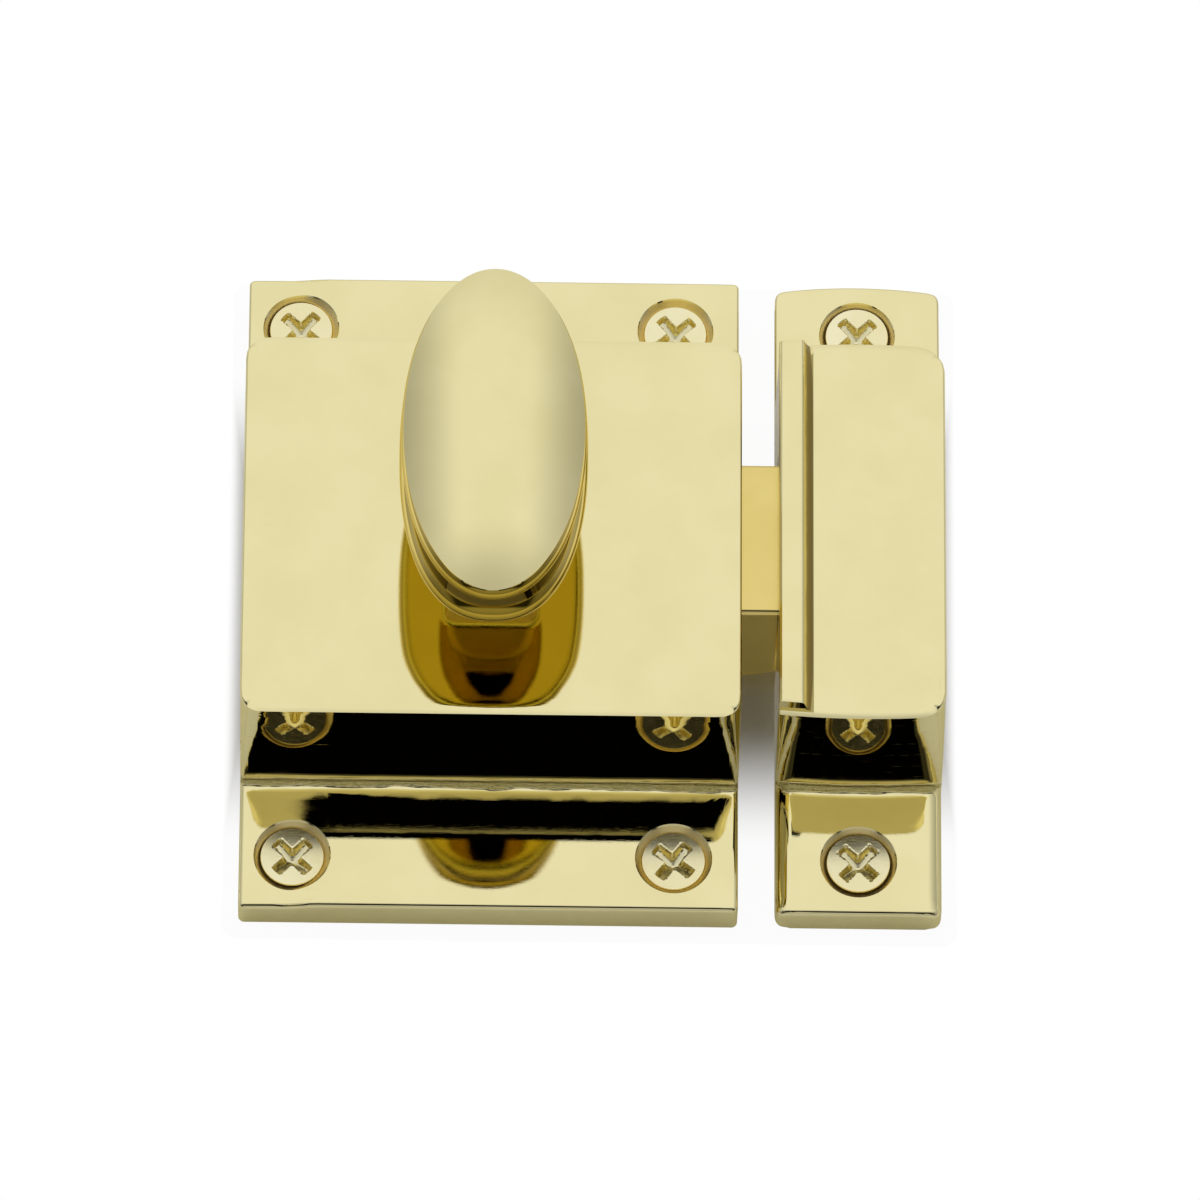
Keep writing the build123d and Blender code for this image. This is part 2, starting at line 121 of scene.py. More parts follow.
# %% Camera
camera = new_object("camera", bpy.data.cameras.new("camera"))
axes = Matrix((right, up, towards_camera)).transposed().to_4x4()
camera.matrix_world = Matrix.Translation(view_target + towards_camera * view_distance) @ axes
camera.data.sensor_width = 36
camera.data.lens = 422.5
camera.data.clip_start = 0.05
camera.data.clip_end = 20
bpy.context.scene.camera = camera
print("camera at", [round(v, 3) for v in camera.matrix_world.translation])

# %% [markdown]
# ## Small helpers for shader nodes
#
# Every finish below is a node tree. Wiring one by hand takes three lines a node, so the first helper
# adds a node, sets its named inputs and joins them to other nodes in one call. An input is given a
# number or a colour to set it, or another node's output to join it. The others are the sums that come
# back in every tree: a product, the distance to a corner, and a soft ramp between two values.

# %% Node helpers
def add_node(tree, kind, inputs=None, **settings):
    node = tree.nodes.new(kind)
    for name, value in settings.items():
        setattr(node, name, value)
    for key, value in (inputs or {}).items():
        if isinstance(value, bpy.types.NodeSocket):
            tree.links.new(value, node.inputs[key])
        else:
            node.inputs[key].default_value = value
    return node


def math_node(tree, operation, first, second=0.0):
    return add_node(tree, "ShaderNodeMath", {0: first, 1: second}, operation=operation).outputs[0]


def product(tree, first, second):
    return math_node(tree, "MULTIPLY", first, second)


def distance(tree, across, along):
    squares = [math_node(tree, "POWER", side, 2.0) for side in (across, along)]
    return math_node(tree, "SQRT", math_node(tree, "ADD", *squares))


def ramp_between(tree, value, low, high, low_result=0.0, high_result=1.0):
    """A soft step: low_result below low, high_result above high."""
    inputs = {"Value": value, "From Min": low, "From Max": high}
    inputs.update({"To Min": low_result, "To Max": high_result})
    node = add_node(tree, "ShaderNodeMapRange", inputs, interpolation_type="SMOOTHSTEP")
    return node.outputs["Result"]


def object_point(tree):
    return add_node(tree, "ShaderNodeTexCoord").outputs["Object"]


def place_of(tree, point):
    """The X, Y and Z of a point, each as an output."""
    return add_node(tree, "ShaderNodeSeparateXYZ", {0: point}).outputs


def new_material(name):
    material = bpy.data.materials.new(name)
    material.use_nodes = True
    material.node_tree.nodes.clear()
    return material, material.node_tree

# %% [markdown]
# ## The board and the light tent
#
# Polished brass has hardly any colour of its own to show: it shows the room. So the room comes first.
# The latch was lit in a pale tent, brightest above the camera, where the faces look, and dimmer at the
# sides. A ring of lamps would put hard shapes into the dome of the knob. A world whose brightness
# changes softly with direction has no edges, so the dome gets soft bands. Behind the latch is a plain
# white board, which lets a camera behind it see through. It has openings behind the castings, so that
# their hollow backs stay open to the room.

# %% White board
board_half = 450 * mm
board_gap = 0.05 * mm
opening_inset = 0.2 * mm

case_low, case_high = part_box("case")
strike_low, strike_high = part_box("strike")
board_x = [
    -board_half,
    case_low.x + opening_inset,
    case_high.x - opening_inset,
    strike_low.x + opening_inset,
    strike_high.x - opening_inset,
    board_half,
]
board_z = [-board_half, case_low.z + opening_inset, case_high.z - opening_inset, board_half]
board_points = [(x, case_high.y + board_gap, z) for z in board_z for x in board_x]
openings = ((1, 1), (3, 1))
board_faces = []
for row in range(len(board_z) - 1):
    for column in range(len(board_x) - 1):
        if (column, row) not in openings:
            corner = row * len(board_x) + column
            above = corner + len(board_x)
            board_faces.append((corner, corner + 1, above + 1, above))
board_mesh = bpy.data.meshes.new("white_board")
board_mesh.from_pydata(board_points, [], board_faces)
board = new_object("white_board", board_mesh)
print("board with", len(openings), "openings behind the castings")

# %% [markdown]
# The board glows plain white to the camera, so the background is white however the latch is lit. Close
# to the latch it is paper instead of glow, and there the shadow shows. In the gap between the castings
# the glow paints the board white above the bolt, as painted light over its shadow, and below the bolt
# the paper shows its shadow. In the mirrors of the brass the glow fades near the latch and grows
# away from it, a painted shade round the latch.

# %% How far the board lies from the latch
board_paint, tree = new_material("white_board_paint")
place = place_of(tree, object_point(tree))
half_width = (strike_high.x - case_low.x) / 2
off_x = math_node(tree, "ABSOLUTE", math_node(tree, "SUBTRACT", place["X"], case_low.x + half_width))
off_x = math_node(tree, "MAXIMUM", math_node(tree, "SUBTRACT", off_x, half_width), 0.0)
height = math_node(tree, "ABSOLUTE", place["Z"])
off_z = math_node(tree, "MAXIMUM", math_node(tree, "SUBTRACT", height, case_high.z), 0.0)
away = distance(tree, off_x, off_z)

# %% Board paint
shadow_reach = 1.6 * mm
white_from, white_full = 2 * mm, 6 * mm
shade_to, shade_gone = 11 * mm, 24 * mm
mirror_near, mirror_far = 4 * mm, 90 * mm
near_glow, far_glow, gap_glow = 0.11, 0.9, 0.95

between = ramp_between(tree, away, 0.2 * mm, 0.1 * mm)
# painted light: above the bolt the glow paints the gap white over its real shadow
above_bolt = product(tree, ramp_between(tree, place["Z"], white_from, white_full), between)
past_bolt = math_node(tree, "MAXIMUM", ramp_between(tree, height, shade_to, shade_gone), above_bolt)
in_gap = product(tree, past_bolt, gap_glow)
to_camera = math_node(tree, "MAXIMUM", ramp_between(tree, away, 0.0, shadow_reach), in_gap)
# painted shade: the glow that the mirrors see fades towards the latch, a painted darkness round it
to_mirrors = product(tree, ramp_between(tree, away, mirror_near, mirror_far, near_glow, 1.0), far_glow)
print(f"the board is white to the camera from {shadow_reach / mm} mm off the latch")

# %% Paper and glow
path = add_node(tree, "ShaderNodeLightPath").outputs
from_mirror = math_node(tree, "MAXIMUM", path["Is Glossy Ray"], path["Is Transmission Ray"])
camera_white = product(tree, path["Is Camera Ray"], to_camera)
white_share = math_node(tree, "ADD", camera_white, product(tree, from_mirror, to_mirrors))
paper_grain = add_node(tree, "ShaderNodeTexNoise", {"Scale": 900.0, "Detail": 3.0}).outputs["Fac"]
paper_tone = ramp_between(tree, paper_grain, 0.2, 0.8, 0.9, 0.93)
paper = add_node(tree, "ShaderNodeBsdfDiffuse", {"Color": paper_tone}).outputs[0]
glow = add_node(tree, "ShaderNodeEmission", {"Color": (1, 1, 1, 1), "Strength": 1.0}).outputs[0]
lit = add_node(tree, "ShaderNodeMixShader", {0: white_share, 1: paper, 2: glow}).outputs[0]
clear = add_node(tree, "ShaderNodeBsdfTransparent").outputs[0]
behind = add_node(tree, "ShaderNodeNewGeometry").outputs["Backfacing"]
both = add_node(tree, "ShaderNodeMixShader", {0: behind, 1: lit, 2: clear}).outputs[0]
add_node(tree, "ShaderNodeOutputMaterial", {"Surface": both})
board_mesh.materials.append(board_paint)

# %% [markdown]
# The tent is a world whose strength is a product of four ramps of the direction: dimmer behind, dimmer
# at the sides, dimmer below the horizon, and nearly dark in the part of the room under the camera. The
# camera itself sees a plain pale world, so no view from behind ends in a dark background.

# %% Light tent
dim, dark = 0.62, 0.07
tent_cloth = (0.97, 1.0, 1.1, 1)
pale_cloth = (0.96, 0.965, 0.975, 1)

tent = bpy.data.worlds.new("light_tent")
bpy.context.scene.world = tent
tent.use_nodes = True
tree = tent.node_tree
tree.nodes.clear()
direction = place_of(tree, add_node(tree, "ShaderNodeTexCoord").outputs["Generated"])
sideways = math_node(tree, "ABSOLUTE", direction["X"])
dark_room = 1.0
for part, edge, inside in (
    (direction["Z"], -0.27, -0.37),
    (direction["Y"], 0.1, -0.25),
    (sideways, 0.9, 0.6),
    (direction["Z"], -0.84, -0.68),
):
    dark_room = product(tree, dark_room, ramp_between(tree, part, edge, inside))
level = 1.0
for share in (
    ramp_between(tree, direction["Y"], 0.35, -0.75, dim, 1.0),
    ramp_between(tree, sideways, 0.35, 0.95, 1.0, dim),
    ramp_between(tree, direction["Z"], -0.26, 0.08, dim, 1.0),
    ramp_between(tree, dark_room, 0.0, 1.0, 1.0, dark),
):
    level = product(tree, level, share)
lit_cloth = add_node(tree, "ShaderNodeBackground", {"Color": tent_cloth, "Strength": level}).outputs[0]
pale_room = add_node(tree, "ShaderNodeBackground", {"Color": pale_cloth, "Strength": 1.0}).outputs[0]
to_eye = add_node(tree, "ShaderNodeLightPath").outputs["Is Camera Ray"]
seen = add_node(tree, "ShaderNodeMixShader", {0: to_eye, 1: lit_cloth, 2: pale_room}).outputs[0]
add_node(tree, "ShaderNodeOutputWorld", {"Surface": seen})
print("tent of strength 1 above, with shares of", dim, "at its sides and", dark, "in its dark part")

# %% [markdown]
# ## The dark card round the lens
#
# The wall under the knob meets the flange at a right angle, and two mirrors at a right angle send a
# ray back to where it came from. What they show is the dark side of the studio, where the camera
# stands, and so does the valley between two rims. A dark card stands there. The camera looks through
# it, so the card is left out of what the camera sees directly. Its sides and its lower edge fade out,
# because a hard edge would draw a line across the dome.

# %% Dark card
card_distance, card_drop = 1100 * mm, 105 * mm
card_half_width, card_half_height = 420 * mm, 250 * mm
card_solid_width, card_solid_drop = 250 * mm, 130 * mm
card_centre = view_target + towards_camera * card_distance - up * card_drop
card_corners = [
    card_centre + right * card_half_width * a + up * card_half_height * b
    for a, b in ((-1, -1), (1, -1), (1, 1), (-1, 1))
]
card_mesh = bpy.data.meshes.new("dark_card")
card_mesh.from_pydata(card_corners, [], [(0, 1, 2, 3)])
card = new_object("dark_card", card_mesh)
card.visible_camera = False
card.visible_shadow = False

# %% Card paint
card_paint, tree = new_material("black_card")
nap = add_node(tree, "ShaderNodeTexNoise", {"Scale": 300.0, "Detail": 2.0}).outputs["Fac"]
card_tone = ramp_between(tree, nap, 0.2, 0.8, 0.0005, 0.0015)
black = add_node(tree, "ShaderNodeBsdfDiffuse", {"Color": card_tone}).outputs[0]
ends = {0: object_point(tree), 1: card_centre}
from_middle = add_node(tree, "ShaderNodeVectorMath", ends, operation="SUBTRACT").outputs[0]
aside, drop = (
    add_node(tree, "ShaderNodeVectorMath", {0: from_middle, 1: axis}, operation="DOT_PRODUCT").outputs["Value"]
    for axis in (right, -up)
)
wide = ramp_between(tree, math_node(tree, "ABSOLUTE", aside), card_half_width, card_solid_width)
low = ramp_between(tree, drop, card_half_height, card_solid_drop)
clear = add_node(tree, "ShaderNodeBsdfTransparent").outputs[0]
faded = add_node(tree, "ShaderNodeMixShader", {0: product(tree, wide, low), 1: clear, 2: black}).outputs[0]
add_node(tree, "ShaderNodeOutputMaterial", {"Surface": faded})
card_mesh.materials.append(card_paint)

# %% Soft key lamp
key = new_object("key_lamp", bpy.data.lights.new("key_lamp", "AREA"))
key.data.shape = "SQUARE"
key.data.size = 0.9
key.data.energy = 1.5
key_place = Vector((-0.35, -0.9, 1.2))
key_aim = key_place.to_track_quat("Z", "Y").to_matrix().to_4x4()
key.matrix_world = Matrix.Translation(key_place) @ key_aim
key.visible_glossy = False
print("card and lamp are up")

# %% [markdown]
# ## Polished cast brass
#
# The castings were ground flat, then polished on a cloth wheel and lacquered. Close to, such brass
# has a fine nap of wheel marks all in one direction and a slow waviness that bends what it mirrors. A
# single glossy colour would give a chrome-like mirror. So the finish is built from three parts: the
# alloy's colour with faint clouds, a roughness that varies, and a bump for waves and wheel marks. Two
# sets of marks and painted shade are laid over it, one for the castings and one for the knob.

# %% Noise, tint and bump
def stretched(tree, point, scale):
    return add_node(tree, "ShaderNodeMapping", {"Vector": point, "Scale": scale}).outputs["Vector"]


def noise(tree, point, scale, detail=3.0, roughness=0.5):
    inputs = {"Vector": point, "Scale": scale, "Detail": detail, "Roughness": roughness}
    return add_node(tree, "ShaderNodeTexNoise", inputs).outputs["Fac"]


def tinted(tree, value, low_colour, high_colour):
    """Mixes two colours, each given as three numbers or as a node's output."""
    ends = [(*end, 1) if isinstance(end, tuple) else end for end in (low_colour, high_colour)]
    return add_node(tree, "ShaderNodeMix", {0: value, 6: ends[0], 7: ends[1]}, data_type="RGBA").outputs[2]


def bumped(tree, height, rise, under=None):
    """A normal that follows a height, laid over another normal if there is one."""
    node = add_node(tree, "ShaderNodeBump", {"Strength": 1.0, "Distance": rise, "Height": height})
    if under is not None:
        tree.links.new(under, node.inputs["Normal"])
    return node.outputs[0]

# %% [markdown]
# The wheel can't reach everywhere. Along the foot of the housing the ridges of the casting are left,
# the countersinks are only cut, and the cove beside the strike's lip stays dull and is painted darker,
# a painted shade in its hollow. Each of these places gets a mask that is one inside it and zero
# outside. Painting the masks by hand would tie them to one mesh, while a formula of the place works on
# every piece.

# %% Masks between places
def past(tree, value, edge, full):
    """Zero before a place in mm, and one past it."""
    return ramp_between(tree, value, edge * mm, full * mm)


def band(tree, value, edge, full, far_full, far_edge):
    """One between two places in mm, with soft edges."""
    return product(tree, past(tree, value, edge, full), past(tree, value, far_edge, far_full))

# %% Along the foot of the housing
flange_depth = 3.8
foot_half_height = 19.5
foot_ridge = 0.3
foot_width, foot_edge, foot_raggedness = 0.7, 1.0, 0.8


def foot_mask(tree, point):
    place = place_of(tree, point)
    out = math_node(tree, "SUBTRACT", math_node(tree, "ABSOLUTE", place["Z"]), foot_half_height * mm)
    deep = math_node(tree, "SUBTRACT", product(tree, place["Y"], -1.0), (flange_depth + foot_ridge) * mm)
    ragged = noise(tree, stretched(tree, point, (1, 4, 4)), 300.0, 2.0)
    edge = math_node(tree, "ADD", distance(tree, out, deep), product(tree, ragged, foot_raggedness * mm))
    return past(tree, edge, foot_edge, foot_width)

# %% Inside the countersinks
screw_row_x, screw_row_z = 17.0, 26.65
case_middle_x, strike_middle_x = -0.5, 33.0
sink_radius, sink_edge = 3.4, 0.1
back_of_sink, in_sink = -0.3, -0.5


def hole_mask(tree, point):
    place = place_of(tree, point)

    def off(value, middle):
        return math_node(tree, "ABSOLUTE", math_node(tree, "SUBTRACT", value, middle * mm))

    off_case = off(off(place["X"], case_middle_x), screw_row_x)
    off_x = math_node(tree, "MINIMUM", off_case, off(place["X"], strike_middle_x))
    away = distance(tree, off_x, off(math_node(tree, "ABSOLUTE", place["Z"]), screw_row_z))
    within = past(tree, away, sink_radius, sink_radius - sink_edge)
    return product(tree, within, past(tree, place["Y"], back_of_sink, in_sink))

# %% In the cove beside the lip
cove_places = (27.9, 28.25, 28.72, 28.92)
before_face, on_lip = -16.82, -16.9
cove_raggedness = 0.3


def cove_mask(tree, point):
    place = place_of(tree, point)
    ragged = noise(tree, stretched(tree, point, (4, 4, 1)), 500.0, 3.0, 0.7)
    across = math_node(tree, "ADD", place["X"], product(tree, ragged, cove_raggedness * mm))
    return product(tree, band(tree, across, *cove_places), past(tree, place["Y"], before_face, on_lip))

# %% Marks and painted shade of the castings
# cove_shade_brass is painted shade in the hollow of the cove beside the lip
cove_shade_brass, ridge_brass, cut_brass = (0.36, 0.28, 0.13), (0.4, 0.33, 0.06), (0.92, 0.74, 0.32)
ridge_rise = 0.22 * mm


def cast_marks_and_shade(tree, point, skin):
    """Dulls and colours the places that the wheel can't reach, and paints shade into the cove."""
    foot, holes, cove = foot_mask(tree, point), hole_mask(tree, point), cove_mask(tree, point)
    ridges = product(tree, foot, noise(tree, stretched(tree, point, (1, 9, 9)), 380.0, 4.0, 0.7))
    for mask, colour in ((cove, cove_shade_brass), (ridges, ridge_brass), (holes, cut_brass)):
        skin["Base Color"] = tinted(tree, mask, skin["Base Color"], colour)
    for mask, dullness in ((cove, 0.3), (foot, 0.12), (holes, 0.4)):
        skin["Roughness"] = math_node(tree, "ADD", skin["Roughness"], product(tree, mask, dullness))
    skin["Normal"] = bumped(tree, ridges, ridge_rise, skin["Normal"])

# %% [markdown]
# The knob was polished as one piece after casting. Its groove and the crease under the dome are
# painted dark, a painted shade in these hollows. Its rims are painted a deeper yellow than the dome, a
# painted reflection of the brass around them, and painted shade darkens them at the ends of the oval.
# The back of its head and its underside are painted darker, as shade under the head, and its neck,
# which no wheel reaches, is dulled and painted a bright amber, a painted reflection of the brass round it.

# %% Painted shade and reflections of the knob
oval_ends = (8, 15)
crease_places = (-34.9, -34.8, -34.7, -34.6)
rims_start = (-34.8, -34.6)
groove_places = (-32.8, -32.3, -31.5, -31.0)
head_ends = (-29.6, -28.8)
neck_starts = (-28.4, -27.9)
# painted reflection: a deeper yellow on the rims; painted shade: darker rims at the ends of the oval
rim_reflection_tint, rim_end_shade = (0.74, 0.57, 0.17), (0.4, 0.27, 0.03)
# the neck loses part of its metal so that its painted amber reflection shows
neck_dullness, neck_diffuse_share = 0.45, 0.6


def knob_shade_and_reflections(tree, point, skin):
    """Paints shade and reflections into the knob's colour by its depth, and dulls its neck."""
    place = place_of(tree, point)
    at_ends = past(tree, math_node(tree, "ABSOLUTE", place["Z"]), *oval_ends)
    on_neck = past(tree, place["Y"], *neck_starts)
    # painted shade in the groove, the crease and under the head; painted reflection in the neck's amber
    for mask, colour in (
        (past(tree, place["Y"], *rims_start), tinted(tree, at_ends, rim_reflection_tint, rim_end_shade)),
        (band(tree, place["Y"], *groove_places), (0.13, 0.08, 0.01)),
        (band(tree, place["Y"], *crease_places), (0.25, 0.17, 0.03)),
        (past(tree, place["Y"], *head_ends), (0.5, 0.38, 0.035)),
        (on_neck, (0.96, 0.7, 0.12)),
    ):
        skin["Base Color"] = tinted(tree, mask, skin["Base Color"], colour)
    skin["Roughness"] = math_node(tree, "ADD", skin["Roughness"], product(tree, on_neck, neck_dullness))
    skin["Metallic"] = math_node(tree, "SUBTRACT", 1.0, product(tree, on_neck, neck_diffuse_share))

# %% Brass finish
edge_tint = (0.95, 0.9, 0.62, 1)
wheel_mark = 0.0006 * mm
polished, soft_polish = 0.008, 0.02
round_the_piece, along_the_bar = (40, 40, 900), (900, 40, 40)


def brass_finish(
    name, pale, deep, smooth=polished, rough=soft_polish, nap=round_the_piece, wave=0.004 * mm, marks_and_shade=None
):
    material, tree = new_material(name)
    point = object_point(tree)
    clouds = ramp_between(tree, noise(tree, point, 180.0, 4.0), 0.3, 0.7)
    wheel = noise(tree, stretched(tree, point, nap), 22.0, 5.0, 0.65)
    waves = bumped(tree, noise(tree, point, 85.0, 1.0), wave)
    skin = {
        "Base Color": tinted(tree, clouds, deep, pale),
        "Metallic": 1.0,
        "Roughness": ramp_between(tree, wheel, 0.25, 0.75, smooth, rough),
        "Normal": bumped(tree, wheel, wheel_mark, waves),
        "Specular Tint": edge_tint,
    }
    if marks_and_shade:
        marks_and_shade(tree, point, skin)
    surface = add_node(tree, "ShaderNodeBsdfPrincipled", skin).outputs[0]
    add_node(tree, "ShaderNodeOutputMaterial", {"Surface": surface})
    return material

# %% Finishes of the pieces
cast_brass = brass_finish("polished_cast_brass", (0.83, 0.73, 0.37), (0.8, 0.7, 0.345), marks_and_shade=cast_marks_and_shade)
knob_brass = brass_finish(
    "polished_knob_brass", (0.82, 0.72, 0.36), (0.79, 0.69, 0.33), wave=0.008 * mm, marks_and_shade=knob_shade_and_reflections
)
bolt_brass = brass_finish(
    "drawn_bolt_brass", (0.79, 0.62, 0.2), (0.75, 0.58, 0.18), 0.12, 0.2, along_the_bar
)
screw_brass = brass_finish("turned_screw_brass", (0.88, 0.8, 0.48), (0.84, 0.74, 0.4), 0.14, 0.28)
plate_brass = brass_finish("rubbed_plate_brass", (0.7, 0.56, 0.28), (0.6, 0.47, 0.22), 0.2, 0.38)
bronze = brass_finish("stamped_bronze", (0.62, 0.42, 0.25), (0.55, 0.36, 0.2), 0.2, 0.35)
steel = brass_finish("turned_steel", (0.62, 0.61, 0.6), (0.5, 0.49, 0.48), 0.16, 0.3)
zinc = brass_finish("bright_zinc", (0.75, 0.74, 0.7), (0.66, 0.65, 0.6), 0.14, 0.28)
wire_steel = brass_finish("spring_wire", (0.6, 0.6, 0.62), (0.45, 0.45, 0.47), 0.15, 0.3)
finishes = {
    "case_brass": cast_brass,
    "knob_brass": knob_brass,
    "bolt_brass": bolt_brass,
    "screw_brass": screw_brass,
    "plate_brass": plate_brass,
    "washer_bronze": bronze,
    "turned_steel": steel,
    "crank_steel": steel,
    "plated_steel": zinc,
    "spring_steel": wire_steel,
}

# %% Give every solid its finish
slots = {entry["node"]: entry["material_slot"] for entry in frame["record"]["subparts"]}
for name, solid in frame["nodes"].items():
    for material_slot in solid.material_slots:
        material_slot.material = finishes[slots[name]]
print("finished", len(slots), "solids")

# %% [markdown]
# ## The case and the strike
#
# Both castings were ground and buffed by hand. A buffing wheel takes more off near an edge than in the
# middle of a face, so each face falls away over its last few millimetres, and the corners of the walls
# are rounder where the wheel could reach them, near the face, than down at the foot. In a mirror finish
# this shows at once, because the mirrored knob closes before it reaches the edge. Sculpting it by hand
# would be slow and uneven. Instead we copy the solid, cut it into cells of under a millimetre, and move
# the points by formulas that say how much the wheel takes off at each place.

# %% Cut a solid into cells
weld_distance, cut_tolerance = 0.001 * mm, 0.0001 * mm


def cells_of(node, sizes):
    """The solid of a node as a welded bmesh, cut at planes; sizes has three lists of places in mm."""
    cells = bmesh.new()
    cells.from_mesh(frame["nodes"][node].data)
    bmesh.ops.remove_doubles(cells, verts=cells.verts, dist=weld_distance)
    for axis, places in enumerate(sizes):
        normal = Vector([float(axis == k) for k in range(3)])
        for place in places:
            cut = {"plane_co": normal * place * mm, "plane_no": normal, "dist": cut_tolerance}
            everything = cells.verts[:] + cells.edges[:] + cells.faces[:]
            bmesh.ops.bisect_plane(cells, geom=everything, **cut)
    return cells


def spread(low, high, cell):
    count = round((high - low) / cell)
    return [low + (high - low) * step / count for step in range(1, count)]


def near_ends(low, high, reach, cell):
    return spread(low, low + reach, cell) + spread(high - reach, high, cell)

# %% How the wheel's work fades
def share_between(value, low, high):
    """Zero at low, one at high, with a soft start and end."""
    part = min(max((value - low) / (high - low), 0.0), 1.0)
    return part * part * (3 - 2 * part)


def near(to_edge, reach):
    """One at an edge, falling to zero at its reach."""
    return max(0.0, 1 - to_edge / reach) ** 2


def pushed_out(middle, half, corner, reach, value):
    """A place near a corner, moved on to the corner's arc, on the side where the value lies."""
    return middle + math.copysign(half - corner + reach, value - middle)

# %% What the wheel takes off the housing
face_depth = 16.8
lip_step = 0.3
wall_draft = math.tan(math.radians(3))
touch = 0.01
foot_corner = 0.35
wall_fall, wall_reach = 0.32, 5.5
side_fall, side_reach = 0.1, 3.5
brink_reach = 0.9
fall_starts, fall_full = 13.5, 16.0


def wall_at(depth):
    """Half the height of the housing at a depth, because its walls have draft."""
    return foot_half_height - (depth - flange_depth) * wall_draft


def buffed_housing(x, depth, z, form):
    wall_z = wall_at(depth)
    to_side = form.half_width - abs(x - form.middle_x)
    to_wall = wall_z - abs(z)
    under_lip = x < form.lip_end and depth > face_depth - lip_step
    round_here = form.right_round if x > form.middle_x else form.left_round
    corner = foot_corner + round_here * share_between(depth, flange_depth + 1.0, face_depth)
    if to_side < corner and to_wall < corner and not under_lip:
        across, along = corner - max(to_side, 0.0), corner - max(to_wall, 0.0)
        reach = max(across, along) / math.hypot(across, along)
        x = pushed_out(form.middle_x, form.half_width, corner, across * reach, x)
        z = pushed_out(0.0, wall_z, corner, along * reach, z)
    fall = wall_fall * near(to_wall, wall_reach)
    if not under_lip:
        fall += side_fall * near(to_side, side_reach)
    fall += form.brink_fall * near(to_wall, brink_reach)
    return x, depth - fall * share_between(depth, fall_starts, fall_full), z

# %% What it takes off the flange
end_half_height = case_high.z / mm
flange_height = 12.25
flange_fall, flange_reach = 0.07, 3.0
flange_back, flange_front = 0.5, 3.0
cove_rise, cove_reach, cove_front = 0.22, 1.1, 3.6


def buffed_flange(x, depth, z, form):
    to_side = form.half_width - abs(x - form.middle_x)
    to_end = end_half_height - abs(z)
    from_foot = abs(z) - foot_half_height
    fall = flange_fall * near(to_end, flange_reach) + flange_fall * near(to_side, flange_reach)
    fall += form.lean(x) * max(0.0, from_foot) / flange_height
    depth -= fall * share_between(depth, flange_back, flange_front)
    if from_foot > -touch:
        depth += cove_rise * near(from_foot, cove_reach) * share_between(depth, flange_front, cove_front)
    across, along = form.end_corner - to_side, form.end_corner - to_end
    if across > 0 and along > 0:
        length = math.hypot(across, along)
        fuller = ((across / length) ** 4 + (along / length) ** 4) ** -0.25
        x = pushed_out(form.middle_x, form.half_width, form.end_corner, across * fuller, x)
        z = pushed_out(0.0, end_half_height, form.end_corner, along * fuller, z)
    return x, depth, z

# %% Move one point of a casting
bow_starts, bow_full = -32.0, -20.0


def buffed(point, form):
    """A point of a casting after buffing, in mm. Depth is counted forwards from the back plane."""
    x, depth, z = point.x, -point.y, point.z
    if depth > flange_depth + touch and wall_at(depth) - abs(z) > -touch:
        x, depth, z = buffed_housing(x, depth, z, form)
    elif depth > flange_back:
        x, depth, z = buffed_flange(x, depth, z, form)
    bow = form.arch * share_between(z, bow_starts, bow_full)
    z *= 1 - bow * ((x - form.middle_x) / form.half_width) ** 2
    return Vector((x, -depth, z))

# %% Make a casting
flat_limit = math.radians(0.02)


def smooth_shaded(mesh, sharp_degrees):
    mesh.shade_smooth()
    mesh.set_sharp_from_angle(angle=math.radians(sharp_degrees))


def casting(node, name, places, form):
    cells = cells_of(node, places)
    for vertex in cells.verts:
        vertex.co = buffed(vertex.co / mm, form) * mm
    bmesh.ops.dissolve_limit(cells, angle_limit=flat_limit, verts=cells.verts, edges=cells.edges)
    mesh = bpy.data.meshes.new(name)
    cells.to_mesh(mesh)
    cells.free()
    # the solid's own normals would shade the moved points wrongly
    mesh.attributes.remove(mesh.attributes["custom_normal"])
    mesh.materials.clear()
    mesh.materials.append(cast_brass)
    smooth_shaded(mesh, sharp_degrees=28)
    piece = new_object(name, mesh)
    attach(piece, "fixed")
    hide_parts(node)
    print(name, len(mesh.polygons), "faces")

# %% Where the castings are cut
cell, strike_cell, deep_cell, fine_cell = 0.8, 0.6, 1.0, 0.2
face_half_height, face_edge, side_edge = 18.8, 1.6, 1.8
round_the_face = (-0.02, 0.3, 0.35, 0.7)
cove_end = foot_half_height + cove_reach
tall_places = (
    spread(-end_half_height, end_half_height, cell)
    + near_ends(-face_half_height, face_half_height, face_edge, fine_cell)
    + near_ends(-cove_end, cove_end, cove_reach, fine_cell)
)
deep_places = spread(-face_depth, -flange_depth, deep_cell)
deep_places += [-face_depth + step for step in round_the_face]


def side_places(low, high, cell):
    low_x, high_x = low.x / mm, high.x / mm
    return spread(low_x, high_x, cell) + near_ends(low_x, high_x, side_edge, fine_cell)


def form_of(low, high, **values):
    """The middle and half width of a casting in mm, with what the wheel does to it."""
    low_x, high_x = low.x / mm, high.x / mm
    return SimpleNamespace(middle_x=(low_x + high_x) / 2, half_width=(high_x - low_x) / 2, **values)

# %% [markdown]
# The two castings differ. The case has square ends, and only the left part of its flange leans back
# towards its ends. The strike's flange leans back over its whole width, its corners are rounded, its
# upper end is bowed, and its face stops at the lip.

